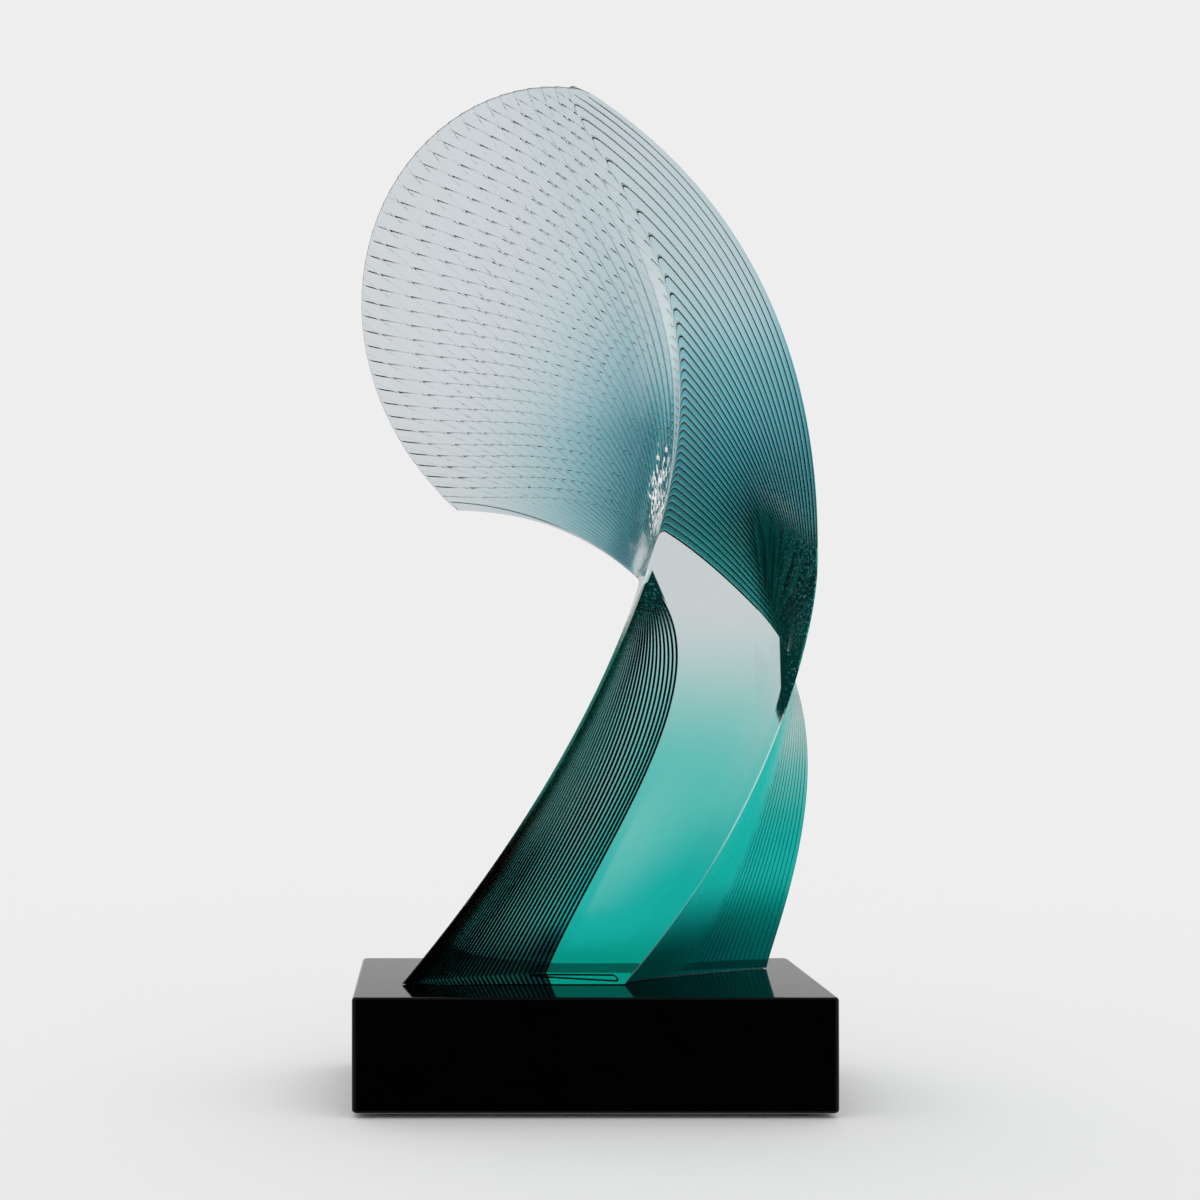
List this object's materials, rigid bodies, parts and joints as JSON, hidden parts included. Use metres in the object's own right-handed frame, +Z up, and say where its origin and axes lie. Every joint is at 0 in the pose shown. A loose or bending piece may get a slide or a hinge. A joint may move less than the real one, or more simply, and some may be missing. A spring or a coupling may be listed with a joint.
{
  "type": "resin fan sculpture",
  "caption": "Clear-to-teal resin sculpture whose stepped layers twist up from a narrow neck and open into a ribbed fan, bonded to a gloss black block.",
  "frame": {"origin": "middle of the base block's footprint, on the plane of the pads' undersides", "axes": "+Z up, +X to the right seen from the front, +Y from the front layer to the back layer"},
  "size_m": [0.2028, 0.12, 0.4354],
  "materials": {
    "teal_resin": "polished clear resin, smoke-clear at the top to deep teal at the foot",
    "clear_adhesive": "clear cured adhesive",
    "black_lacquer": "high gloss black lacquer",
    "pad_rubber": "matte black rubber"
  },
  "bodies": {
    "root": {"fan_casting": "teal_resin", "bond_film": "clear_adhesive", "base_block": "black_lacquer", "foot_front_left": "pad_rubber", "foot_front_right": "pad_rubber", "foot_back_left": "pad_rubber", "foot_back_right": "pad_rubber"}
  },
  "joints": []
}
